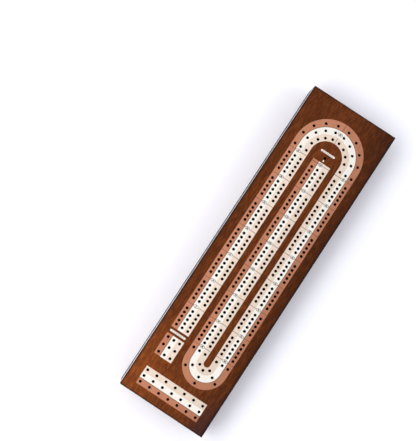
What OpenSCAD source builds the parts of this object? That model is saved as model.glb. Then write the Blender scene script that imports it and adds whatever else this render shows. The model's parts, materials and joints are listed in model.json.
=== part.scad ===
// Cribbage board: a solid wooden slab with a continuous three-lane track let into its top,
// a start block and a games-won block, and nine metal pegs kept under a sliding lid in its underside.
//
// Frame: millimetres, +Z up, the table at z = 0, the board centred on X and Y.
// The long side runs along Y. The start and the lid's open end are at -Y.

/* [Board] */
// Length of the wooden board
board_l = 372; // [368:1:400]
// Width of the wooden board
board_w = 101; // [92:1:130]
// Thickness of the wooden board, without its feet
board_t = 23.5; // [23.5:0.5:34]
// Radius on the long and short edges
edge_r = 0.6; // [0.4:0.1:2]
// Radius on the four upright corners
corner_r = 1; // [0.6:0.1:4]

/* [Track] */
// Distance between neighbouring lanes, which is also the width of a lane
lane_pitch = 7; // [6.6:0.1:7.3]
// Distance between the holes in a group of five
hole_step = 5; // [4.6:0.1:5.2]
// Distance from one group of five to the next
group_step = 32.5; // [30:0.5:32.5]
// How far the middle of the straight rows lies from the middle of the board
track_shift = 4.5; // [3:0.5:6]
// Height of the far bend's centre above the last straight tick
far_bend_lead = 9.3; // [7:0.1:10.5]
// How much further out the centre of the far bend's outer edge lies than that of its inner edge
far_bend_rise = 3; // [0:0.1:4]
// Depth of the near bend's innermost centre below the last straight tick
near_bend_lead = 10.7; // [10:0.1:12]
// How much further down the centre of the near bend's outer edge lies than that of its inner edge
near_bend_drop = 2.5; // [0:0.1:3]

/* [Peg holes] */
// Diameter of a peg hole
hole_d = 3.2; // [3.1:0.05:3.4]
// Depth of a peg hole below the top face
hole_depth = 8; // [6:0.5:9]

/* [Veneer inlays] */
// Thickness of the veneer, which lies flush in its recess
veneer_t = 1; // [0.6:0.1:1.5]
// Width of the glue line round each veneer piece
glue_line = 0.12; // [0.06:0.02:0.2]

/* [Blocks and labels] */
// Distance between the three rows of the start block
start_step = 9; // [8:0.5:9]
// Distance between the seven columns of the games-won block
score_step = 11.3; // [10:0.1:11.5]
// Width of the two label bars
bar_w = 2.3; // [2:0.1:3]

/* [Storage] */
// Length of the peg pocket
pocket_l = 60; // [56:1:80]
// Width of the peg pocket
pocket_w = 34; // [33.5:0.5:37]
// Height of the peg pocket above the lid
pocket_h = 7.5; // [6.5:0.1:8]
// Thickness of the sliding lid
lid_t = 4; // [3.5:0.1:4.5]
// Gap round the sliding lid
lid_gap = 0.2; // [0.1:0.05:0.4]

/* [Feet] */
// Thickness of the rubber feet
foot_h = 2; // [1:0.5:4]
// Diameter of the rubber feet
foot_d = 10; // [8:1:14]

/* [Pegs] */
// Overall length of a peg
peg_l = 30; // [28:0.5:32]
// Diameter of the peg's ball head
peg_head_d = 4.6; // [4.2:0.1:4.8]
// Diameter of the collar that stops the peg on the board
peg_collar_d = 4; // [3.6:0.1:4.1]
// Diameter of the spigot just below the collar
peg_spigot_d = 3.05; // [2.8:0.05:3.05]
// Diameter of the spigot's tip
peg_tip_d = 2.5; // [2:0.1:2.7]

/* [Hidden] */
$fn = 48;
eps = 0.01;

STAIN = [0.36, 0.17, 0.08];
TERRACOTTA = [0.77, 0.49, 0.37];
IVORY = [0.96, 0.95, 0.90];
BLUSH = [0.96, 0.87, 0.80];
RUBBER = [0.1, 0.1, 0.1];
BRASS = [0.83, 0.66, 0.3];
STEEL = [0.78, 0.78, 0.8];
BLACK = [0.13, 0.13, 0.14];

// Heights
bottom_z = foot_h;
top_z = foot_h + board_t;

// The lanes are named from the outside of the far bend. A lane's radius is its distance from the
// board's centre line on the way up and down, and its radius on the far bend.
OUTER = 5 * lane_pitch;
MIDDLE = 4 * lane_pitch;
INNER = 3 * lane_pitch;
// The near bend turns round the line midway between the middle row and the right-hand row.
near_x = 2 * lane_pitch;

// Straight rows: seven groups of five holes, with a tick line halfway between groups.
GROUPS = 7;
PER_GROUP = 5;
half_run = (GROUPS - 1) / 2 * group_step + (PER_GROUP - 1) / 2 * hole_step;
half_gap = (group_step - (PER_GROUP - 1) * hole_step) / 2;
far_tick = track_shift + half_run + half_gap;
near_tick = track_shift - half_run - half_gap;

// Bends: the holes nearest the straights sit on the straights, and the rest fan out from the crown.
// The far bend's three fans have centres of their own, a step apart, just above the bend's centre.
far_hole_lead = 5;
far_crown_rise = 0.6;
far_crown_step = 0.8;
far_hole_angles = [for (k = [0:3]) (k + 0.5) * 21.6];
near_hole_lead = 3.5;
near_hole_angle = 60;

// Ends of the veneer beyond the last hole or tick
start_end = 4.2;
finish_end = 2.5;
first_row_end = track_shift - half_run - start_end;
middle_row_end = far_tick + finish_end;

// Start block, games-won block and labels
block_gap = 7.6;
start_margin = 3.6;
START_ROWS = 3;
start_l = (START_ROWS - 1) * start_step + 2 * start_margin;
start_y = first_row_end - block_gap - start_l / 2;
SCORE_COLS = 7;
score_margin = 3.2;
score_l = (SCORE_COLS - 1) * score_step + 2 * score_margin;
score_inset = 20.6;
score_y = -board_l / 2 + score_inset;
start_bar_l = 19;
finish_bar_l = 17;
start_bar_y = first_row_end - block_gap / 2;
finish_hole_y = middle_row_end + 6;
finish_bar_y = finish_hole_y + 5.7;
pointer_w = 1.7;
pointer_l = 3.2;
pointer_y = finish_hole_y - 3.4;

// Storage: a T-shaped slot that opens at the -Y end, with the peg pocket above its closed end.
lid_lip_h = lid_t / 2;
lid_face_w = pocket_w + 3;
lid_flange_w = lid_face_w + 6;
slot_top_z = bottom_z + lid_t + lid_gap;
end_wall = 22;
lid_l = end_wall + pocket_l + 4;
lid_y0 = -board_l / 2;
pocket_y = lid_y0 + end_wall + pocket_l / 2;
scoop_r = 12;
scoop_depth = 1.4;
scoop_w = 20;
scoop_y = lid_y0 + 13;

// Feet
foot_inset = 12;
foot_spots = [for (sx = [-1, 1]) for (sy = [-1, 1])
    [sx * (board_w / 2 - foot_inset), sy * (board_l / 2 - foot_inset)]];

// Pegs: the spigot goes into a hole up to the collar. The shaft narrows to the neck under the head.
peg_spigot_l = 7.5;
peg_collar_h = 1.2;
peg_shaft_d = 3.3;
peg_neck_d = 1.9;
peg_ring_h = 0.9;
peg_ball_z = peg_l - peg_head_d / 2;

// Nine pegs lie side by side on the lid, across the board, heads at alternate ends.
// Each leans so that its head and its collar both rest on the lid.
PEGS = 9;
peg_rest_gap = 0.05;
peg_pitch = (pocket_l - 1.5) / PEGS;
peg_lean = asin((peg_head_d - peg_collar_d) / 2 / (peg_ball_z - peg_spigot_l));
peg_floor_z = bottom_z + lid_t + peg_rest_gap;
peg_tip_z = peg_floor_z + peg_collar_d / 2 * cos(peg_lean) - peg_spigot_l * sin(peg_lean);

// ---- Where the holes are ----

// Centre height of the far bend for an edge or a lane of radius r, to a hundredth of a millimetre,
// so that a straight and its arc meet exactly
function far_bend_y(r) =
    let (rise = far_bend_rise * pow((r / lane_pitch - 2.5) / 3, 2))
    far_tick + far_bend_lead + round(rise * 100) / 100;

// Centre height of the near bend for an edge or a lane of radius r about it
function near_bend_y(r) =
    let (drop = near_bend_drop * (1 - pow((3.5 - r / lane_pitch) / 3, 2)))
    near_tick - near_bend_lead - round(drop * 100) / 100;

function row_y(group, hole) =
    track_shift + (group - (GROUPS - 1) / 2) * group_step + (hole - (PER_GROUP - 1) / 2) * hole_step;

function straight_holes(r) =
    [for (x = [-r, r, 2 * near_x - r]) for (g = [0:GROUPS - 1]) for (h = [0:PER_GROUP - 1]) [x, row_y(g, h)]];

function far_bend_holes(r) =
    let (crown_y = far_tick + far_bend_lead + far_crown_rise + (r / lane_pitch - 4) * far_crown_step)
    [for (side = [-1, 1]) each concat(
        [[side * r, far_tick + far_hole_lead]],
        [for (a = far_hole_angles) [side * r * sin(a), crown_y + r * cos(a)]])];

function near_bend_holes(r) =
    let (rb = r - near_x)
    concat(
        [[near_x, near_bend_y(rb) - rb]],
        [for (side = [-1, 1]) each [
            [near_x + side * rb, near_tick - near_hole_lead],
            [near_x + side * rb * sin(near_hole_angle), near_bend_y(rb) - rb * cos(near_hole_angle)]]]);

function track_holes(r) = concat(straight_holes(r), far_bend_holes(r), near_bend_holes(r));

function start_holes(r) =
    [for (k = [0:START_ROWS - 1]) [-r, start_y + (k - (START_ROWS - 1) / 2) * start_step]];

function score_row_y(r) = score_y + MIDDLE - r;

function score_holes(r) =
    [for (k = [0:SCORE_COLS - 1]) [(k - (SCORE_COLS - 1) / 2) * score_step, score_row_y(r)]];

all_holes = concat(
    [for (r = [OUTER, MIDDLE, INNER]) each concat(track_holes(r), start_holes(r), score_holes(r))],
    [[0, finish_hole_y]]);

// ---- Flat outlines ----

module rounded_rect(size, r) {
    difference() {
        square(size, center = true);
        for (sx = [0, 1]) for (sy = [0, 1])
            mirror([sx, 0]) mirror([0, sy])
                translate([size.x / 2 - r, size.y / 2 - r])
                    difference() {
                        square(r + 1);
                        circle(r);
                    }
    }
}

// The upper half of a disc
module half_disc(r) {
    difference() {
        circle(r);
        translate([-r - 1, -r - 1]) square([2 * r + 2, r + 1]);
    }
}

// The area under the far bend's edge of radius r, down to the last tick
module far_bend_area(r) {
    translate([-r, far_tick])
        square([2 * r, far_bend_y(r) - far_tick]);
    translate([0, far_bend_y(r)]) half_disc(r);
}

// The area inside the near bend's edge of radius r about that bend's own centre, up to the last tick
module near_bend_area(r) {
    translate([near_x - r, near_bend_y(r)])
        square([2 * r, near_tick - near_bend_y(r)]);
    translate([near_x, near_bend_y(r)]) mirror([0, 1]) half_disc(r);
}

// A band of the track of width w, centred on the lane of radius r
module track_band(r, w) {
    in_r = r - w / 2;
    out_r = r + w / 2;
    straight_end = far_bend_y(in_r);
    straight_start = near_bend_y(in_r - near_x);
    difference() {
        far_bend_area(out_r);
        far_bend_area(in_r);
    }
    difference() {
        near_bend_area(out_r - near_x);
        near_bend_area(in_r - near_x);
    }
    translate([-out_r, first_row_end]) square([w, straight_end - first_row_end]);
    translate([in_r, straight_start]) square([w, straight_end - straight_start]);
    translate([2 * near_x - out_r, straight_start]) square([w, middle_row_end - straight_start]);
}

module start_band(r, w) {
    translate([-r - w / 2, start_y - start_l / 2]) square([w, start_l]);
}

module score_band(r, w) {
    translate([-score_l / 2, score_row_y(r) - w / 2]) square([score_l, w]);
}

module bar_outline(length, w) {
    square([length - w, w], center = true);
    for (side = [-1, 1])
        translate([side * (length - w) / 2, 0]) rotate(-side * 90) half_disc(w / 2);
}

// A slim kite that points at the finish hole
module pointer_outline(w, l) {
    polygon([[0, l / 2], [w / 2, l / 8], [0, -l / 2], [-w / 2, l / 8]]);
}

// ---- Shared solids ----

module peg_holes(spots) {
    for (p = spots)
        translate([p.x, p.y, top_z - hole_depth])
            cylinder(d = hole_d, h = hole_depth + 1);
}

// Veneer of the given outline, flush with the top face
module veneer() {
    translate([0, 0, top_z - veneer_t])
        linear_extrude(veneer_t) children();
}

// The recess that takes the veneer
module recess() {
    translate([0, 0, top_z - veneer_t])
        linear_extrude(veneer_t + 1) children();
}

// ---- Wooden board ----

module rounded_block() {
    intersection() {
        translate([0, 0, bottom_z - 1])
            linear_extrude(board_t + 2) rounded_rect([board_w, board_l], corner_r);
        translate([0, board_l / 2 + 1, bottom_z + board_t / 2])
            rotate([90, 0, 0])
                linear_extrude(board_l + 2) rounded_rect([board_w, board_t], edge_r);
        translate([-board_w / 2 - 1, 0, bottom_z + board_t / 2])
            rotate([90, 0, 90])
                linear_extrude(board_w + 2) rounded_rect([board_l, board_t], edge_r);
    }
}

module storage_slot() {
    slot_l = lid_l + lid_gap;
    translate([-lid_face_w / 2 - lid_gap, lid_y0 - 1, bottom_z - 1])
        cube([lid_face_w + 2 * lid_gap, slot_l + 1, lid_lip_h + 1]);
    translate([-lid_flange_w / 2 - lid_gap, lid_y0 - 1, bottom_z + lid_lip_h])
        cube([lid_flange_w + 2 * lid_gap, slot_l + 1, slot_top_z - bottom_z - lid_lip_h]);
    translate([-pocket_w / 2, pocket_y - pocket_l / 2, slot_top_z - eps])
        cube([pocket_w, pocket_l, pocket_h + eps]);
}

module board_body() {
    color(STAIN)
        difference() {
            rounded_block();
            recess() track_band(MIDDLE, 3 * lane_pitch);
            recess() start_band(MIDDLE, 3 * lane_pitch);
            recess() score_band(MIDDLE, 3 * lane_pitch);
            recess() translate([-MIDDLE, start_bar_y]) bar_outline(start_bar_l, bar_w);
            recess() translate([0, finish_bar_y]) bar_outline(finish_bar_l, bar_w);
            recess() translate([0, pointer_y]) pointer_outline(pointer_w, pointer_l);
            peg_holes(all_holes);
            storage_slot();
        }
}

// ---- Veneer pieces ----

module track_lane(r, colour) {
    color(colour)
        difference() {
            veneer() track_band(r, lane_pitch - glue_line);
            peg_holes(track_holes(r));
        }
}

module start_strip(r, colour) {
    color(colour)
        difference() {
            veneer() start_band(r, lane_pitch - glue_line);
            peg_holes(start_holes(r));
        }
}

module score_strip(r, colour) {
    color(colour)
        difference() {
            veneer() score_band(r, lane_pitch - glue_line);
            peg_holes(score_holes(r));
        }
}

module start_bar() {
    color(IVORY)
        veneer() translate([-MIDDLE, start_bar_y])
            bar_outline(start_bar_l - glue_line, bar_w - glue_line);
}

module finish_bar() {
    color(IVORY)
        veneer() translate([0, finish_bar_y])
            bar_outline(finish_bar_l - glue_line, bar_w - glue_line);
}

module finish_pointer() {
    color(IVORY)
        veneer() translate([0, pointer_y])
            pointer_outline(pointer_w - glue_line, pointer_l - 2 * glue_line);
}

// ---- Sliding lid and feet ----

// The lid's flange rides on the slot's lips, and its face lies just inside the underside.
module storage_lid() {
    face_lift = lid_gap / 4;
    color(STAIN)
        difference() {
            union() {
                translate([-lid_face_w / 2, lid_y0, bottom_z + face_lift])
                    cube([lid_face_w, lid_l, lid_lip_h + eps]);
                translate([-lid_flange_w / 2, lid_y0, bottom_z + lid_lip_h + face_lift])
                    cube([lid_flange_w, lid_l, lid_t - lid_lip_h - face_lift]);
            }
            translate([-scoop_w / 2, scoop_y, bottom_z + face_lift + scoop_depth - scoop_r])
                rotate([0, 90, 0]) cylinder(r = scoop_r, h = scoop_w);
        }
}

module rubber_feet() {
    bevel = 0.5;
    color(RUBBER)
        for (spot = foot_spots)
            translate([spot.x, spot.y, 0]) {
                cylinder(d1 = foot_d - 2 * bevel, d2 = foot_d, h = bevel);
                translate([0, 0, bevel]) cylinder(d = foot_d, h = foot_h - bevel);
            }
}

// ---- Pegs ----

// A turned peg, tip down: spigot, collar, tapering shaft, thin ring and ball head
module turned_peg() {
    collar_top = peg_spigot_l + peg_collar_h;
    ring_z = peg_ball_z - peg_head_d / 2 - peg_ring_h / 2;
    cylinder(d1 = peg_tip_d, d2 = peg_spigot_d, h = peg_spigot_l);
    translate([0, 0, peg_spigot_l]) cylinder(d = peg_collar_d, h = peg_collar_h);
    translate([0, 0, collar_top]) cylinder(d1 = peg_shaft_d, d2 = peg_neck_d, h = peg_ball_z - collar_top);
    translate([0, 0, ring_z]) cylinder(d = peg_shaft_d, h = peg_ring_h);
    translate([0, 0, peg_ball_z]) sphere(d = peg_head_d);
}

// Peg number k of the row in the pocket
module stored_peg(k, colour) {
    y = pocket_y + (k - (PEGS - 1) / 2) * peg_pitch;
    color(colour)
        translate([0, y, peg_tip_z])
            mirror([k % 2, 0, 0])
                translate([-peg_l / 2, 0, 0])
                    rotate([0, 90 - peg_lean, 0]) turned_peg();
}

// ---- Nodes ----

board_body();
track_lane(OUTER, TERRACOTTA);  // track_lane_outer
track_lane(MIDDLE, IVORY);  // track_lane_middle
track_lane(INNER, BLUSH);  // track_lane_inner
start_strip(OUTER, TERRACOTTA);  // start_strip_outer
start_strip(MIDDLE, IVORY);  // start_strip_middle
start_strip(INNER, BLUSH);  // start_strip_inner
score_strip(OUTER, TERRACOTTA);  // score_strip_outer
score_strip(MIDDLE, IVORY);  // score_strip_middle
score_strip(INNER, BLUSH);  // score_strip_inner
start_bar();
finish_bar();
finish_pointer();
storage_lid();
rubber_feet();
stored_peg(0, BRASS);  // peg_brass_1
stored_peg(3, BRASS);  // peg_brass_2
stored_peg(6, BRASS);  // peg_brass_3
stored_peg(1, STEEL);  // peg_steel_1
stored_peg(4, STEEL);  // peg_steel_2
stored_peg(7, STEEL);  // peg_steel_3
stored_peg(2, BLACK);  // peg_black_1
stored_peg(5, BLACK);  // peg_black_2
stored_peg(8, BLACK);  // peg_black_3
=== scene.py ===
"""Looks for the cribbage board: lacquered wood, dyed veneers, printed ticks and numerals, metal pegs."""

import json
import math

import bpy
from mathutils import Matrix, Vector


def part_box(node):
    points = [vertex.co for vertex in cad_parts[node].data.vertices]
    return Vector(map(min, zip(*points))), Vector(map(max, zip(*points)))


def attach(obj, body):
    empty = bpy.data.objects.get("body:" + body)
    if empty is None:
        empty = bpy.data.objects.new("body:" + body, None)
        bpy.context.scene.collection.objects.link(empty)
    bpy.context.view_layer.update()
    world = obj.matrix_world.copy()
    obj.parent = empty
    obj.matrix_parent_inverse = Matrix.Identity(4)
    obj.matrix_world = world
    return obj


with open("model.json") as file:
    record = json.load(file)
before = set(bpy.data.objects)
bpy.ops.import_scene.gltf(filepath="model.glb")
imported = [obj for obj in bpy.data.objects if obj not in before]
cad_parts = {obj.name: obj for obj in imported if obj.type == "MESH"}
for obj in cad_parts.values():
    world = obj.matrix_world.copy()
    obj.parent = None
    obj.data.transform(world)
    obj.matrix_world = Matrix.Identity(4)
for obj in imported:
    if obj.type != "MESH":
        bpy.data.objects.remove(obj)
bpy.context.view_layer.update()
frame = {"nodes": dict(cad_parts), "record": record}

MM = 0.001


# ---- Places, all worked out from the frame ----

def node_points(node, keep=lambda p: True):
    """Corners of a CAD node that pass a test."""
    return [v.co for v in frame["nodes"][node].data.vertices if keep(v.co)]


BOARD_LOW, BOARD_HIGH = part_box("board_body")
TOP = BOARD_HIGH.z
BOTTOM = BOARD_LOW.z
HALF_W = (BOARD_HIGH.x - BOARD_LOW.x) / 2
HALF_L = (BOARD_HIGH.y - BOARD_LOW.y) / 2
HOLE_DEPTH = 8 * MM

# Centre lines of the lanes in the right row, as distances from the board's middle
OUTER_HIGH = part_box("track_lane_outer")[1]
MIDDLE_LOW, MIDDLE_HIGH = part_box("track_lane_middle")
INNER_LOW, INNER_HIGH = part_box("track_lane_inner")
PITCH = OUTER_HIGH.x - MIDDLE_HIGH.x
OUTER = 5 * PITCH
MIDDLE = 4 * PITCH
INNER = 3 * PITCH
OUTER_EDGE = OUTER - PITCH / 2
INNER_EDGE = INNER + PITCH / 2

# The near bend turns round this line, between the right and the middle row.
NEAR_X = 2 * PITCH
POINTER_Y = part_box("finish_pointer")[0].y
FIRST_ROW_END = min(p.y for p in node_points("track_lane_outer", lambda p: p.x < -OUTER_EDGE))
MIDDLE_ROW_END = max(p.y for p in node_points("track_lane_outer",
                                              lambda p: abs(p.x + PITCH) < PITCH / 2 and p.y < POINTER_Y))

# Tick lines stand halfway between groups of five holes.
TICKS = 8
LAST_TICK_MARGIN = 2.5 * MM
FIRST_ROW_LEAD = 2.05 * MM
FAR_TICK = MIDDLE_ROW_END - LAST_TICK_MARGIN
NEAR_TICK = FIRST_ROW_END - FIRST_ROW_LEAD
TICK_YS = [NEAR_TICK + k * (FAR_TICK - NEAR_TICK) / (TICKS - 1) for k in range(TICKS)]


# ---- Node-tree helpers ----

class Nodes:
    """A material's node tree, with short calls for the nodes that the materials here use."""

    def __init__(self, name):
        self.material = bpy.data.materials.new(name)
        self.material.use_nodes = True
        self.tree = self.material.node_tree
        self.shader = self.tree.nodes["Principled BSDF"]
        self.position = self.add("ShaderNodeTexCoord").outputs["Object"]

    def add(self, kind, **settings):
        """A new node, with its settings."""
        node = self.tree.nodes.new(kind)
        for key, value in settings.items():
            setattr(node, key, value)
        return node

    def put(self, socket, value):
        """Links an output to a socket, or sets the socket to a plain value."""
        if isinstance(value, bpy.types.NodeSocket):
            self.tree.links.new(value, socket)
        elif isinstance(value, tuple) and len(value) == 3 and socket.type == "RGBA":
            socket.default_value = (*value, 1.0)
        else:
            socket.default_value = value

    def math(self, operation, a, b=0.0):
        node = self.add("ShaderNodeMath", operation=operation)
        self.put(node.inputs[0], a)
        self.put(node.inputs[1], b)
        return node.outputs[0]

    def vector(self, operation, a, b):
        node = self.add("ShaderNodeVectorMath", operation=operation)
        self.put(node.inputs[0], a)
        self.put(node.inputs[1], b)
        return node.outputs["Vector"]

    def axes(self, vector=None):
        """X, Y and Z of a vector, or of the place on the piece if none is given."""
        node = self.add("ShaderNodeSeparateXYZ")
        self.put(node.inputs[0], vector or self.position)
        return node.outputs

    def noise(self, scale, stretch=(1.0, 1.0, 1.0), detail=3.0, roughness=0.5, offset=(0.0, 0.0, 0.0)):
        """Noise whose features are about 1/scale metres across, divided by the stretch on each axis."""
        moved = self.vector("ADD", self.position, offset)
        node = self.add("ShaderNodeTexNoise")
        self.put(node.inputs["Vector"], self.vector("MULTIPLY", moved, stretch))
        self.put(node.inputs["Scale"], scale)
        self.put(node.inputs["Detail"], detail)
        self.put(node.inputs["Roughness"], roughness)
        return node.outputs["Fac"]

    def span(self, value, low, high, to_low=0.0, to_high=1.0):
        """Maps low..high to to_low..to_high, clamped and smooth."""
        node = self.add("ShaderNodeMapRange", interpolation_type="SMOOTHSTEP")
        for socket, number in zip(node.inputs[:5], (value, low, high, to_low, to_high)):
            self.put(socket, number)
        return node.outputs[0]

    def from_edge(self, value, edge, distances, full=1.0):
        """0..full by the distance from an upper edge, as (where it begins, where it is full)."""
        return self.span(value, edge - distances[0], edge - distances[1], 0.0, full)

    def mix(self, factor, a, b):
        """Colour a where the factor is 0 and b where it is 1."""
        node = self.add("ShaderNodeMix", data_type="RGBA")
        self.put(node.inputs["Factor"], factor)
        self.put(node.inputs["A"], a)
        self.put(node.inputs["B"], b)
        return node.outputs["Result"]

    def scale_colour(self, colour, factor):
        node = self.add("ShaderNodeVectorMath", operation="SCALE")
        self.put(node.inputs[0], colour)
        self.put(node.inputs["Scale"], factor)
        return node.outputs["Vector"]

    def bump(self, height, distance, strength):
        node = self.add("ShaderNodeBump")
        self.put(node.inputs["Height"], height)
        self.put(node.inputs["Distance"], distance)
        self.put(node.inputs["Strength"], strength)
        return node.outputs["Normal"]

    def set(self, **values):
        """Sets inputs of the shader, whose names are written with underscores here."""
        for key, value in values.items():
            self.put(self.shader.inputs[key.replace("_", " ")], value)


# ---- Materials ----

# The tree's heart lies below the board and a little to the right, so that the rings arch up.
HEART_X = 18 * MM
HEART_Z = -50 * MM
RING_PITCH = 2.4 * MM
RING_SWAY = 9 * MM


def wood_grain(n, offset):
    """Rings, fibres and pores of a plank whose grain runs along Y. Each is 0..1."""
    sway = n.noise(28, (1.0, 0.16, 1.0), 2, 0.5, offset)
    x, _, z = n.axes()
    across = n.math("SUBTRACT", x, HEART_X)
    up = n.math("SUBTRACT", z, HEART_Z)
    radius = n.math("SQRT", n.math("ADD", n.math("MULTIPLY", across, across), n.math("MULTIPLY", up, up)))
    wavy = n.math("ADD", radius, n.math("MULTIPLY", sway, RING_SWAY))
    turns = n.math("FRACT", n.math("DIVIDE", wavy, RING_PITCH))
    late = n.math("POWER", turns, 2.2)
    fibres = n.noise(1100, (1.0, 0.10, 1.0), 4, 0.65, offset)
    pores = n.span(n.noise(2300, (1.0, 0.11, 1.0), 2, 0.5, offset), 0.60, 0.70)
    return late, fibres, pores


def stain_strength(n, x, y):
    """Painted light across the wood: a painted highlight makes it palest near the start end's left corner,
    and painted shade makes it darkest down the right side and at the finish end.
    """
    right = n.span(x, 0.0, HALF_W, 1.15, 0.66)
    start_left_highlight = n.math("MULTIPLY", n.span(y, -0.40 * HALF_L, -0.80 * HALF_L),
                        n.span(x, 0.25 * HALF_W, -0.85 * HALF_W, 0.30, 1.0))
    finish = n.span(y, 0.6 * HALF_L, HALF_L, 1.0, 0.82)
    return n.math("MULTIPLY", n.math("MULTIPLY", right, finish),
                  n.math("ADD", n.math("MULTIPLY", start_left_highlight, 0.56), 1.0))


# Colours of the stained wood, from the figure to what lies on top of it
STAIN_DARK = (0.070, 0.0162, 0.0030)
STAIN_PALE = (0.120, 0.0282, 0.0050)
LATE_WOOD = (0.034, 0.0078, 0.0020)
FIGURE_DARK = (0.040, 0.0095, 0.0022)
FIGURE_PALE = (0.180, 0.0430, 0.0078)
FIBRE_PALE = (0.175, 0.0430, 0.0078)
PORE_DARK = (0.015, 0.004, 0.002)
# The last five colours are painted light: a corner sheen, shade on the edges and in the peg holes, the
# pale table's reflection and the contact shade on the sides.
CORNER_SHEEN = (0.040, 0.0150, 0.0150)
EDGE_SHADE_COLOUR = (0.014, 0.006, 0.005)
HOLE_SHADE = (0.012, 0.006, 0.004)
TABLE_GLARE = (0.62, 0.61, 0.63)
CONTACT_DARK = (0.010, 0.009, 0.009)

# Where each effect (begins, is full): inwards from a side, down from the top or up from the bottom
END_GRAIN = (0.5 * MM, 0.1 * MM)
RIM_RIGHT = (4.2 * MM, 0.9 * MM)
RIM_LEFT = (2.4 * MM, 0.9 * MM)
RIM_ENDS = (2.0 * MM, 0.8 * MM)
TOP_EDGE_SHADE = (1.2 * MM, 0.4 * MM)
LOW_EDGE_SHADE = (2.4 * MM, 0.6 * MM)
CORNER_DEPTH = (4.0 * MM, 0.5 * MM)
UNDRILLED_BORDER = (3.0 * MM, 4.0 * MM)
HOLE_MOUTH = (0.04 * MM, 0.12 * MM)
HOLE_FLOOR = (0.5 * MM, 0.2 * MM)
GLARE_TOP = (0.9 * MM, 1.5 * MM)
CONTACT_TOP = (17.5 * MM, 13.0 * MM)


def figured_wood(n, y, offset):
    """Colour of the bare figure, with the fibres, which the lacquer's relief follows, and the pores."""
    late, fibres, pores = wood_grain(n, offset)
    patches = n.noise(22, (1.0, 0.35, 1.0), 3, 0.55, offset)
    mottle = n.noise(400, (1.0, 0.28, 1.0), 4, 0.66, offset)
    # The end grain shows its rings more and its figure less.
    end = n.from_edge(n.math("ABSOLUTE", y), HALF_L, END_GRAIN)
    rings = n.math("MULTIPLY", late, n.span(end, 0.0, 1.0, 0.26, 0.70))
    figure = n.span(end, 0.0, 1.0, 1.0, 0.30)
    dark_figure = n.math("MULTIPLY", figure, n.span(mottle, 0.36, 0.60, 0.55, 0.0))
    pale_figure = n.math("MULTIPLY", figure, n.span(mottle, 0.48, 0.68, 0.0, 0.40))
    colour = n.mix(n.span(patches, 0.30, 0.70), STAIN_DARK, STAIN_PALE)
    colour = n.mix(rings, colour, LATE_WOOD)
    colour = n.mix(dark_figure, colour, FIGURE_DARK)
    colour = n.mix(pale_figure, colour, FIGURE_PALE)
    colour = n.mix(n.span(fibres, 0.42, 0.72, 0.0, 0.40), colour, FIBRE_PALE)
    colour = n.mix(n.math("MULTIPLY", pores, 0.50), colour, PORE_DARK)
    return colour, fibres, pores


def start_corner(n, x, y, z):
    """A painted reflection: a dark purplish sheen on top at the right corner of the start end."""
    along = n.span(y, -0.70 * HALF_L, -0.96 * HALF_L)
    across = n.span(x, 0.45 * HALF_W, 0.98 * HALF_W)
    near_top = n.from_edge(z, TOP, CORNER_DEPTH, 0.75)
    return n.math("MULTIPLY", n.math("MULTIPLY", along, across), near_top)


def rim_of_board(n, x, y):
    """1 at the four upright faces, fading inwards. It reaches furthest on the right."""
    right = n.from_edge(x, HALF_W, RIM_RIGHT)
    left = n.span(x, RIM_LEFT[0] - HALF_W, RIM_LEFT[1] - HALF_W)
    ends = n.from_edge(n.math("ABSOLUTE", y), HALF_L, RIM_ENDS)
    return n.math("MAXIMUM", n.math("MAXIMUM", right, left), ends)


def edge_stain(n, rim, z):
    """Painted shade along the top and bottom edges."""
    top_rim = n.math("MULTIPLY", rim, n.from_edge(z, TOP, TOP_EDGE_SHADE))
    low_rim = n.math("MULTIPLY", rim, n.span(z, BOTTOM + LOW_EDGE_SHADE[0], BOTTOM + LOW_EDGE_SHADE[1]))
    return n.math("MULTIPLY", n.math("MAXIMUM", top_rim, low_rim), 0.80)


def drilled_wood(n, x, y, z):
    """1 on the walls of the peg holes, where the raw wood is painted near-black as shade, and on old glue
    in the veneer recesses.
    """
    inside_x = n.from_edge(n.math("ABSOLUTE", x), HALF_W, UNDRILLED_BORDER)
    inside_y = n.from_edge(n.math("ABSOLUTE", y), HALF_L, UNDRILLED_BORDER)
    below = n.from_edge(z, TOP, HOLE_MOUTH)
    above = n.from_edge(z, TOP - HOLE_DEPTH, HOLE_FLOOR)
    return n.math("MULTIPLY", n.math("MULTIPLY", inside_x, inside_y), n.math("MULTIPLY", below, above))


def side_glare(n, rim, z):
    """1 on the upright faces where they are seen from above at a glancing angle."""
    seen_from = n.axes(n.add("ShaderNodeNewGeometry").outputs["Incoming"])
    from_above = n.span(seen_from[2], 0.80, 0.92)
    glancing = n.span(n.add("ShaderNodeLayerWeight").outputs["Facing"], 0.78, 0.88)
    side = n.math("MULTIPLY", rim, n.from_edge(z, TOP, GLARE_TOP))
    return n.math("MULTIPLY", side, n.math("MULTIPLY", from_above, glancing))


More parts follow.
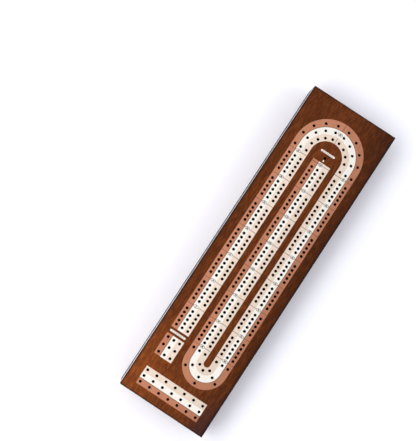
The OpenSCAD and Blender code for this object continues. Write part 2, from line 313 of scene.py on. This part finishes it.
def stained_wood(name, offset=(0.0, 0.0, 0.0), drilled=False):
    """Reddish-brown stained hardwood under satin lacquer, with painted shade along the edges, in the peg
    holes and down the right side, and painted highlights and reflections.
    """
    n = Nodes(name)
    x, y, z = n.axes()
    colour, fibres, pores = figured_wood(n, y, offset)
    # Painted light across the top: paler towards the left and the start end's left corner, painted shade
    # down the right side and at the finish end.
    colour = n.scale_colour(colour, stain_strength(n, x, y))
    # Painted reflection: a dark purplish sheen at the start end's right corner.
    colour = n.mix(start_corner(n, x, y, z), colour, CORNER_SHEEN)
    rim = rim_of_board(n, x, y)
    # Painted shade along the top and bottom edges of the board.
    colour = n.mix(edge_stain(n, rim, z), colour, EDGE_SHADE_COLOUR)
    rough = n.math("ADD", n.math("MULTIPLY", fibres, 0.18), 0.30)
    if drilled:
        # Painted shade: the raw wood inside the peg holes is near-black.
        hole = drilled_wood(n, x, y, z)
        colour = n.mix(hole, colour, HOLE_SHADE)
        rough = n.math("MAXIMUM", rough, n.math("MULTIPLY", hole, 0.9))

    # At a glancing angle from above, the upper sides get a painted reflection of the pale table, and the
    # lower sides painted contact shade in place of their gloss.
    glare = side_glare(n, rim, z)
    table_reflection = n.math("MULTIPLY", glare, n.span(y, 0.0, -0.9 * HALF_L, 0.35, 0.90))
    contact_shade = n.math("MULTIPLY", glare, n.span(z, BOTTOM + CONTACT_TOP[0], BOTTOM + CONTACT_TOP[1]))
    colour = n.mix(table_reflection, colour, TABLE_GLARE)
    colour = n.mix(n.math("MULTIPLY", contact_shade, 0.92), colour, CONTACT_DARK)
    lacquer = n.math("MULTIPLY", n.math("SUBTRACT", 1.0, contact_shade), n.span(glare, 0.0, 1.0, 0.28, 1.0))

    relief = n.math("SUBTRACT", n.math("MULTIPLY", fibres, 0.25), pores)
    n.set(Base_Color=colour, Roughness=rough, Normal=n.bump(relief, 0.02 * MM, 0.5),
          Coat_Weight=lacquer, Coat_Roughness=0.16, Specular_IOR_Level=n.span(contact_shade, 0.0, 1.0, 0.15, 0.0))
    return n.material


def veneer(name, base, streak, fleck, seed, left=1.03, right=0.93):
    """Dyed, satin-lacquered veneer: faint streaks along Y, short flecks and soft blotches.

    left and right scale its colour towards the two sides of the board: painted light, paler on the left
    and painted shade on the right."""
    n = Nodes(name)
    offset = (seed * 0.31, seed * 0.17, 0.0)
    fibres = n.noise(1500, (1.0, 0.04, 1.0), 3, 0.6, offset)
    flecks = n.span(n.noise(1700, (1.0, 0.12, 1.0), 1, 0.5, offset), 0.63, 0.72)
    blotches = n.noise(90, (1.0, 0.4, 1.0), 3, 0.55, offset)
    colour = n.mix(n.span(fibres, 0.35, 0.75, 0.0, 0.55), base, streak)
    colour = n.mix(n.span(blotches, 0.40, 0.70, 0.0, 0.40), colour, streak)
    colour = n.mix(n.math("MULTIPLY", flecks, 0.45), colour, fleck)
    # Painted shade: the colour falls off from the left side of the board to the right.
    colour = n.scale_colour(colour, n.span(n.axes()[0], -0.5 * HALF_W, HALF_W, left, right))
    rough = n.math("ADD", n.math("MULTIPLY", fibres, 0.15), 0.32)
    n.set(Base_Color=colour, Roughness=rough, Normal=n.bump(fibres, 0.008 * MM, 0.4),
          Coat_Weight=0.3, Coat_Roughness=0.18, Specular_IOR_Level=0.3)
    return n.material


def ink(name, colour):
    """Thin screen-printed ink that lets a little of the grain through."""
    n = Nodes(name)
    cover = n.span(n.noise(2600, (1.0, 0.3, 1.0), 2, 0.6), 0.30, 0.62, 0.72, 1.0)
    lighter = tuple(min(1.0, c * 1.9 + 0.05) for c in colour)
    n.set(Base_Color=n.mix(cover, lighter, colour), Roughness=n.span(cover, 0.0, 1.0, 0.6, 0.42),
          Specular_IOR_Level=0.3)
    return n.material


def moulded_rubber(name):
    """Black rubber with a fine pebbled skin and a little dust."""
    n = Nodes(name)
    speckle = n.noise(5200, detail=2)
    dust = n.span(n.noise(420, detail=3), 0.52, 0.72, 0.0, 0.35)
    colour = n.mix(dust, (0.011, 0.011, 0.012), (0.038, 0.036, 0.034))
    n.set(Base_Color=colour, Roughness=n.span(speckle, 0.3, 0.7, 0.62, 0.82),
          Normal=n.bump(speckle, 0.03 * MM, 0.6))
    return n.material


def turned_metal(name, base, tarnish, roughness):
    """Polished metal with fine turning rings round a peg that lies along X, and faint handling marks."""
    n = Nodes(name)
    rings = n.noise(5200, (1.0, 0.03, 0.03), 2, 0.5)
    marks = n.noise(260, detail=4, roughness=0.65)
    colour = n.mix(n.span(marks, 0.45, 0.75, 0.0, 0.6), base, tarnish)
    rough = n.math("ADD", n.span(marks, 0.35, 0.75, 0.0, 0.16), roughness)
    n.set(Base_Color=colour, Metallic=1.0, Roughness=rough, Normal=n.bump(rings, 0.01 * MM, 0.35))
    return n.material


MATERIALS = {
    "stained_wood": stained_wood("stained_wood", drilled=True),
    "lid_wood": stained_wood("lid_wood", offset=(0.37, 0.21, 0.05)),
    # The veneers' left and right values set their painted shade across the board.
    "terracotta_veneer": veneer("terracotta_veneer", (0.415, 0.172, 0.096), (0.332, 0.131, 0.071),
                                (0.20, 0.07, 0.040), 1, left=1.13),
    "ivory_veneer": veneer("ivory_veneer", (0.745, 0.715, 0.655), (0.690, 0.645, 0.565),
                           (0.52, 0.45, 0.36), 2, right=0.99),
    "blush_veneer": veneer("blush_veneer", (0.665, 0.553, 0.455), (0.600, 0.480, 0.385),
                           (0.45, 0.33, 0.25), 3, left=1.07),
    "ink_grey": ink("ink_grey", (0.060, 0.043, 0.028)),
    "ink_brown": ink("ink_brown", (0.105, 0.040, 0.025)),
    "glue_dark": ink("glue_dark", (0.110, 0.062, 0.036)),
    "glue_light": ink("glue_light", (0.560, 0.440, 0.350)),
    "rubber": moulded_rubber("rubber"),
    "peg_brass": turned_metal("peg_brass", (0.83, 0.60, 0.24), (0.62, 0.40, 0.13), 0.16),
    "peg_steel": turned_metal("peg_steel", (0.74, 0.74, 0.76), (0.52, 0.52, 0.54), 0.18),
    "peg_black": turned_metal("peg_black", (0.055, 0.055, 0.062), (0.025, 0.025, 0.030), 0.22),
}


def coat_node(node, material):
    """Gives a CAD node one material."""
    mesh = frame["nodes"][node].data
    mesh.materials.clear()
    mesh.materials.append(MATERIALS[material])
    for polygon in mesh.polygons:
        polygon.material_index = 0


for part in frame["record"]["subparts"]:
    coat_node(part["node"], "lid_wood" if part["node"] == "storage_lid" else part["material_slot"])


# ---- Printing and glue lines on the top face ----

# Printed lines are thin solids that stand a little proud of the face.
PRINT_LOW = TOP - 0.03 * MM
PRINT_HIGH = TOP + 0.015 * MM


def add_piece(name, mesh, material):
    """Adds a mesh that stays with the board, in one of the materials."""
    mesh.materials.append(MATERIALS[material])
    piece = bpy.data.objects.new(name, mesh)
    bpy.context.scene.collection.objects.link(piece)
    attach(piece, "board")


class Strips:
    """Thin closed strips that follow lines on the top face, gathered into one mesh."""

    def __init__(self):
        self.points, self.faces = [], []

    def line(self, path, width, closed=False):
        """A strip along a path of (x, y) points. A closed one joins its last point to its first."""
        start = len(self.points)
        count = len(path)
        last = count if closed else count - 1
        for i, (x, y) in enumerate(path):
            if closed:
                ahead, behind = path[(i + 1) % count], path[i - 1]
            else:
                ahead, behind = path[min(i + 1, last)], path[max(i - 1, 0)]
            along = Vector((ahead[0] - behind[0], ahead[1] - behind[1])).normalized()
            side = Vector((-along.y, along.x)) * width / 2
            for z in (PRINT_LOW, PRINT_HIGH):
                self.points.append((x + side.x, y + side.y, z))
                self.points.append((x - side.x, y - side.y, z))
        for i in range(last):
            a = start + 4 * i
            b = start + 4 * ((i + 1) % count)
            self.faces += [(a + 2, a + 3, b + 3, b + 2), (a, b, b + 1, a + 1),
                           (a, a + 2, b + 2, b), (a + 1, b + 1, b + 3, a + 3)]
        if not closed:
            a, b = start, start + 4 * last
            self.faces += [(a, a + 1, a + 3, a + 2), (b, b + 2, b + 3, b + 1)]

    def mesh(self, name):
        mesh = bpy.data.meshes.new(name)
        mesh.from_pydata(self.points, [], self.faces)
        mesh.validate()
        return mesh


def arc(centre, radius, start_deg, end_deg, steps=48):
    """Points along an arc, as a path for a strip."""
    turn = math.radians(end_deg - start_deg)
    angles = [math.radians(start_deg) + turn * k / steps for k in range(steps + 1)]
    return [(centre[0] + radius * math.cos(a), centre[1] + radius * math.sin(a)) for a in angles]


def lane_edge(radius, low, high):
    """A line along the track, from the start of the left row to the end of the middle row.

    low and high are the corners of the lane whose bends it follows."""
    near_radius = radius - NEAR_X
    far_centre = (0.0, high.y - high.x)
    near_centre = (NEAR_X, low.y + high.x - NEAR_X)
    return ([(-radius, FIRST_ROW_END)] + arc(far_centre, radius, 180, 0)
            + arc(near_centre, near_radius, 0, -180)
            + [(NEAR_X - near_radius, MIDDLE_ROW_END)])


def block_edges(block, direction):
    """The two lines between a block's three strips: outer to middle, then middle to inner.

    direction is the axis along which the lines run."""
    lines = []
    for first, second in (("outer", "middle"), ("middle", "inner")):
        a_low, a_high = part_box(f"{block}_{first}")
        b_low, b_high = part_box(f"{block}_{second}")
        if direction == "x":
            y = (max(a_low.y, b_low.y) + min(a_high.y, b_high.y)) / 2
            lines.append([(a_low.x, y), (a_high.x, y)])
        else:
            x = (max(a_low.x, b_low.x) + min(a_high.x, b_high.x)) / 2
            lines.append([(x, a_low.y), (x, a_high.y)])
    return lines


GLUE_DARK_W = 0.55 * MM
GLUE_LIGHT_W = 0.22 * MM
dark_lines, light_lines = Strips(), Strips()
dark_lines.line(lane_edge(OUTER_EDGE, MIDDLE_LOW, MIDDLE_HIGH), GLUE_DARK_W)
light_lines.line(lane_edge(INNER_EDGE, INNER_LOW, INNER_HIGH), GLUE_LIGHT_W)
for block, direction in (("start_strip", "y"), ("score_strip", "x")):
    dark, light = block_edges(block, direction)
    dark_lines.line(dark, GLUE_DARK_W)
    light_lines.line(light, GLUE_LIGHT_W)
add_piece("glue_lines_dark", dark_lines.mesh("glue_lines_dark"), "glue_dark")
add_piece("glue_lines_light", light_lines.mesh("glue_lines_light"), "glue_light")

TICK_W = 0.46 * MM
LANE_MARGIN = 0.15 * MM
OVAL_L = 5.0 * MM
OVAL_H = 2.9 * MM
OVAL_LINE_W = 0.40 * MM
OVAL_END = (OVAL_L + OVAL_LINE_W) / 2
NUMERAL_H = 1.95 * MM
pale_ticks, terracotta_ticks, ovals = Strips(), Strips(), Strips()
numerals = []


def crossing(lane_radius, side, y):
    """Ends of a tick across one lane of a straight row, from its left to its right side."""
    x = side * lane_radius if side else NEAR_X * 2 - lane_radius
    return [(x - PITCH / 2 + LANE_MARGIN, y), (x + PITCH / 2 - LANE_MARGIN, y)]


def add_numeral(value, x, y):
    """A numeral in an oval outline."""
    reach = (OVAL_L - OVAL_H) / 2
    ovals.line(arc((x + reach, y), OVAL_H / 2, -90, 90, 12) + arc((x - reach, y), OVAL_H / 2, 90, 270, 12),
               OVAL_LINE_W, closed=True)
    numerals.append((value, x, y))


def row_ticks(side, values):
    """Ticks and numerals of one row, given as (y, value). side is -1 left, 1 right, 0 middle."""
    for y, value in values:
        terracotta_ticks.line(crossing(OUTER, side, y), TICK_W)
        pale_ticks.line(crossing(INNER, side, y), TICK_W)
        (left, _), (right, _) = crossing(MIDDLE, side, y)
        centre = (left + right) / 2
        pale_ticks.line([(left, y), (centre - OVAL_END, y)], TICK_W)
        pale_ticks.line([(centre + OVAL_END, y), (right, y)], TICK_W)
        add_numeral(value, centre, y)


# The count goes up the left row, over the far bend, down the right row and up the middle row.
# The two ticks at the near bend stand a little further up their rows.
GROUP = 5
FAR_COUNT = GROUP * TICKS
RIGHT_COUNT = 2 * FAR_COUNT
MIDDLE_COUNT = RIGHT_COUNT + GROUP
NEAR_BEND_TICK = NEAR_TICK + 1.75 * MM
UPPER_TICKS = list(enumerate(TICK_YS))[1:]
row_ticks(-1, [(y, GROUP * k) for k, y in UPPER_TICKS])
row_ticks(1, [(NEAR_BEND_TICK, RIGHT_COUNT)] + [(y, RIGHT_COUNT - GROUP * k) for k, y in UPPER_TICKS])
row_ticks(0, [(NEAR_BEND_TICK, MIDDLE_COUNT)] + [(y, MIDDLE_COUNT + GROUP * k) for k, y in UPPER_TICKS])

# The tick at the top of the far bend
for low, high, strips in ((MIDDLE_HIGH.y, OUTER_HIGH.y, terracotta_ticks),
                          (INNER_HIGH.y - PITCH, INNER_HIGH.y, pale_ticks)):
    strips.line([(0.0, low + LANE_MARGIN), (0.0, high - LANE_MARGIN)], TICK_W)
add_numeral(FAR_COUNT, 0.0, (INNER_HIGH.y + MIDDLE_HIGH.y) / 2)

add_piece("ticks_on_pale_lanes", pale_ticks.mesh("ticks_on_pale_lanes"), "ink_grey")
add_piece("ticks_on_terracotta", terracotta_ticks.mesh("ticks_on_terracotta"), "ink_brown")
add_piece("numeral_ovals", ovals.mesh("numeral_ovals"), "ink_grey")

NUMERAL_SMOOTHNESS = 3
NUMERAL_BOLDNESS = 0.055
NUMERAL_DEPTH = 0.01


def numeral_mesh(value):
    """A numeral as a thin solid near its own origin, about one unit high."""
    curve = bpy.data.curves.new("numeral", "FONT")
    curve.body = str(value)
    curve.align_x, curve.align_y = "CENTER", "CENTER"
    curve.resolution_u = NUMERAL_SMOOTHNESS
    curve.extrude = NUMERAL_DEPTH
    curve.offset = NUMERAL_BOLDNESS
    holder = bpy.data.objects.new("numeral", curve)
    bpy.context.scene.collection.objects.link(holder)
    bpy.context.view_layer.update()
    mesh = bpy.data.meshes.new_from_object(holder.evaluated_get(bpy.context.evaluated_depsgraph_get()))
    bpy.data.objects.remove(holder)
    bpy.data.curves.remove(curve)
    return mesh


def join_numerals():
    """All numerals as one mesh, each scaled to its height and set on the top face."""
    points, faces = [], []
    for value, x, y in numerals:
        mesh = numeral_mesh(value)
        low = Vector(min(v.co[i] for v in mesh.vertices) for i in range(3))
        high = Vector(max(v.co[i] for v in mesh.vertices) for i in range(3))
        size = NUMERAL_H / (high.y - low.y)
        centre = (low + high) / 2
        start = len(points)
        for v in mesh.vertices:
            z = PRINT_HIGH if v.co.z > centre.z else PRINT_LOW
            points.append((x + (v.co.x - centre.x) * size, y + (v.co.y - centre.y) * size, z))
        faces += [tuple(start + i for i in polygon.vertices) for polygon in mesh.polygons]
        bpy.data.meshes.remove(mesh)
    joined = bpy.data.meshes.new("tick_numerals")
    joined.from_pydata(points, [], faces)
    joined.validate()
    return joined


add_piece("tick_numerals", join_numerals(), "ink_grey")

CHEVRON_W = 0.42 * MM
CHEVRON_SIZE = 0.30
CHEVRON_REACH = 0.34


def label_marks(node, count):
    """A row of small printed chevrons along a label bar, in place of a word.

    Their size is a share of the bar's width, and their reach from its middle a share of its length."""
    low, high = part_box(node)
    centre = (low + high) / 2
    reach = (high.x - low.x) * CHEVRON_REACH
    size = (high.y - low.y) * CHEVRON_SIZE
    strips = Strips()
    for k in range(count):
        x = centre.x - reach + 2 * reach * k / (count - 1)
        chevron = [(x - size, centre.y - size), (x, centre.y + size), (x + size, centre.y - size)]
        strips.line(chevron, CHEVRON_W)
    return strips.mesh(f"{node}_marks")


add_piece("start_bar_marks", label_marks("start_bar", 7), "ink_grey")
add_piece("finish_bar_marks", label_marks("finish_bar", 6), "ink_grey")


# ---- Stage, light and camera ----

BACKDROP = (0.975, 0.975, 0.99)
WALL_COLOUR = (0.91, 0.92, 0.98)
CEILING_COLOUR = (0.04, 0.04, 0.045)
WALLS = 1.75
GLOSSY_WALLS = 0.85
FLOOR_SIZE = 16.0
FLOOR_FADE_START = 0.55
FLOOR_FADE_END = 2.2


def floor_material():
    """Pale paper. Far from the board it fades into the backdrop, for the camera only."""
    n = Nodes("floor")
    mottle = n.noise(6, detail=3)
    n.set(Base_Color=n.mix(mottle, (0.880, 0.880, 0.925), (0.895, 0.895, 0.935)), Roughness=0.55,
          Specular_IOR_Level=0.2)
    x, y, _ = n.axes()
    radius = n.math("SQRT", n.math("ADD", n.math("MULTIPLY", x, x), n.math("MULTIPLY", y, y)))
    far = n.span(radius, FLOOR_FADE_START, FLOOR_FADE_END)
    fade = n.math("MULTIPLY", far, n.add("ShaderNodeLightPath").outputs["Is Camera Ray"])
    glow, blend = n.add("ShaderNodeEmission"), n.add("ShaderNodeMixShader")
    n.put(glow.inputs["Color"], BACKDROP)
    for socket, value in zip(blend.inputs, (fade, n.shader.outputs[0], glow.outputs[0])):
        n.put(socket, value)
    n.put(n.tree.nodes["Material Output"].inputs["Surface"], blend.outputs[0])
    return n.material


def add_floor():
    """The table, as one large square at the height of the feet."""
    mesh = bpy.data.meshes.new("floor")
    half = FLOOR_SIZE / 2
    mesh.from_pydata([(-half, -half, 0), (half, -half, 0), (half, half, 0), (-half, half, 0)], [],
                     [(0, 1, 2, 3)])
    mesh.materials.append(floor_material())
    floor = bpy.data.objects.new("floor", mesh)
    bpy.context.scene.collection.objects.link(floor)
    return floor


def add_light(name, location, size, watts, colour=(1.0, 1.0, 1.0)):
    """A rectangular light that points at the middle of the board."""
    data = bpy.data.lights.new(name, "AREA")
    data.shape = "RECTANGLE"
    data.size, data.size_y = size
    data.energy = watts
    data.color = colour
    light = bpy.data.objects.new(name, data)
    light.location = location
    light.rotation_euler = (-Vector(location)).to_track_quat("-Z", "Y").to_euler()
    bpy.context.scene.collection.objects.link(light)
    return light


def studio_world():
    """Pale walls and a dim ceiling. The camera itself sees a plain pale backdrop."""
    world = bpy.data.worlds.new("studio")
    world.use_nodes = True
    bpy.context.scene.world = world
    tree = world.node_tree
    tree.nodes.clear()
    new, link = tree.nodes.new, tree.links.new
    up = new("ShaderNodeSeparateXYZ")
    link(new("ShaderNodeTexCoord").outputs["Generated"], up.inputs[0])
    ramp = new("ShaderNodeValToRGB")
    stops = ramp.color_ramp.elements
    stops[0].position, stops[0].color = 0.35, (*WALL_COLOUR, 1)
    stops[1].position, stops[1].color = 0.90, (*CEILING_COLOUR, 1)
    link(up.outputs["Z"], ramp.inputs[0])
    walls, backdrop = new("ShaderNodeBackground"), new("ShaderNodeBackground")
    link(ramp.outputs[0], walls.inputs["Color"])
    path = new("ShaderNodeLightPath").outputs
    # Reflections see dimmer walls, so that the lacquer keeps its depth in low views.
    strength = new("ShaderNodeMath")
    strength.operation = "MULTIPLY_ADD"
    link(path["Is Glossy Ray"], strength.inputs[0])
    strength.inputs[1].default_value = GLOSSY_WALLS - WALLS
    strength.inputs[2].default_value = WALLS
    link(strength.outputs[0], walls.inputs["Strength"])
    backdrop.inputs["Color"].default_value = (*BACKDROP, 1)
    mix = new("ShaderNodeMixShader")
    link(path["Is Camera Ray"], mix.inputs[0])
    link(walls.outputs[0], mix.inputs[1])
    link(backdrop.outputs[0], mix.inputs[2])
    link(mix.outputs[0], new("ShaderNodeOutputWorld").inputs[0])


def drive(owner, path, camera, anchor, stops):
    """Drives a value by the camera's distance from an anchor, or by its height if there is none.

    stops are (input, value) pairs, and the first and last values hold beyond them."""
    curve = owner.driver_add(path)
    while curve.modifiers:
        curve.modifiers.remove(curve.modifiers[0])
    curve.keyframe_points.clear()
    curve.driver.type = "SUM"
    variable = curve.driver.variables.new()
    if anchor is None:
        variable.type = "TRANSFORMS"
        variable.targets[0].transform_type = "LOC_Z"
    else:
        variable.type = "LOC_DIFF"
        variable.targets[1].id = anchor
    variable.targets[0].id = camera
    curve.extrapolation = "CONSTANT"
    for at, value in stops:
        curve.keyframe_points.insert(at, value).interpolation = "LINEAR"


# The camera stands almost straight above the board, turned so that the board lies diagonally.
CAMERA_AT = Vector((-0.0950, -0.05276, 0.64315))
CAMERA_TURN = tuple(math.radians(a) for a in (2.1217, -0.4205, 33.430))
LENS = 48.491
LENS_SHIFT = (0.1107, 0.0206)
SHIFT_REACH = 20 * MM
FLOOR_HIDDEN_AT = -30 * MM


def add_camera(floor):
    """The camera at the photo's viewpoint, with the drivers that suit other views."""
    data = bpy.data.cameras.new("camera")
    data.lens = LENS
    data.clip_start, data.clip_end = 0.01, 20
    camera = bpy.data.objects.new("camera", data)
    camera.location = CAMERA_AT
    camera.rotation_euler = CAMERA_TURN
    bpy.context.scene.collection.objects.link(camera)
    bpy.context.scene.camera = camera
    viewpoint = bpy.data.objects.new("viewpoint", None)
    viewpoint.location = CAMERA_AT
    bpy.context.scene.collection.objects.link(viewpoint)
    # The lens is shifted only at this viewpoint, so that any other view stays centred.
    for path, shift in zip(("shift_x", "shift_y"), LENS_SHIFT):
        drive(data, path, camera, viewpoint, [(0.0, shift), (SHIFT_REACH, 0.0)])
    # The floor is left out of views from underneath.
    drive(floor, "hide_render", camera, None, [(FLOOR_HIDDEN_AT, 1.0), (0.0, 0.0)])


floor = add_floor()
studio_world()
add_light("key", (-0.60, -0.32, 0.72), size=(1.2, 0.5), watts=7.8, colour=(1.0, 0.985, 0.96))
add_light("fill", (1.3, 0.35, 0.8), size=(1.0, 1.0), watts=4.8, colour=(0.96, 0.97, 1.0))
add_light("back", (-0.1, 1.3, 0.9), size=(1.2, 0.6), watts=3.4)
add_camera(floor)
bpy.context.scene.view_settings.view_transform = "Standard"
bpy.context.scene.view_settings.look = "None"
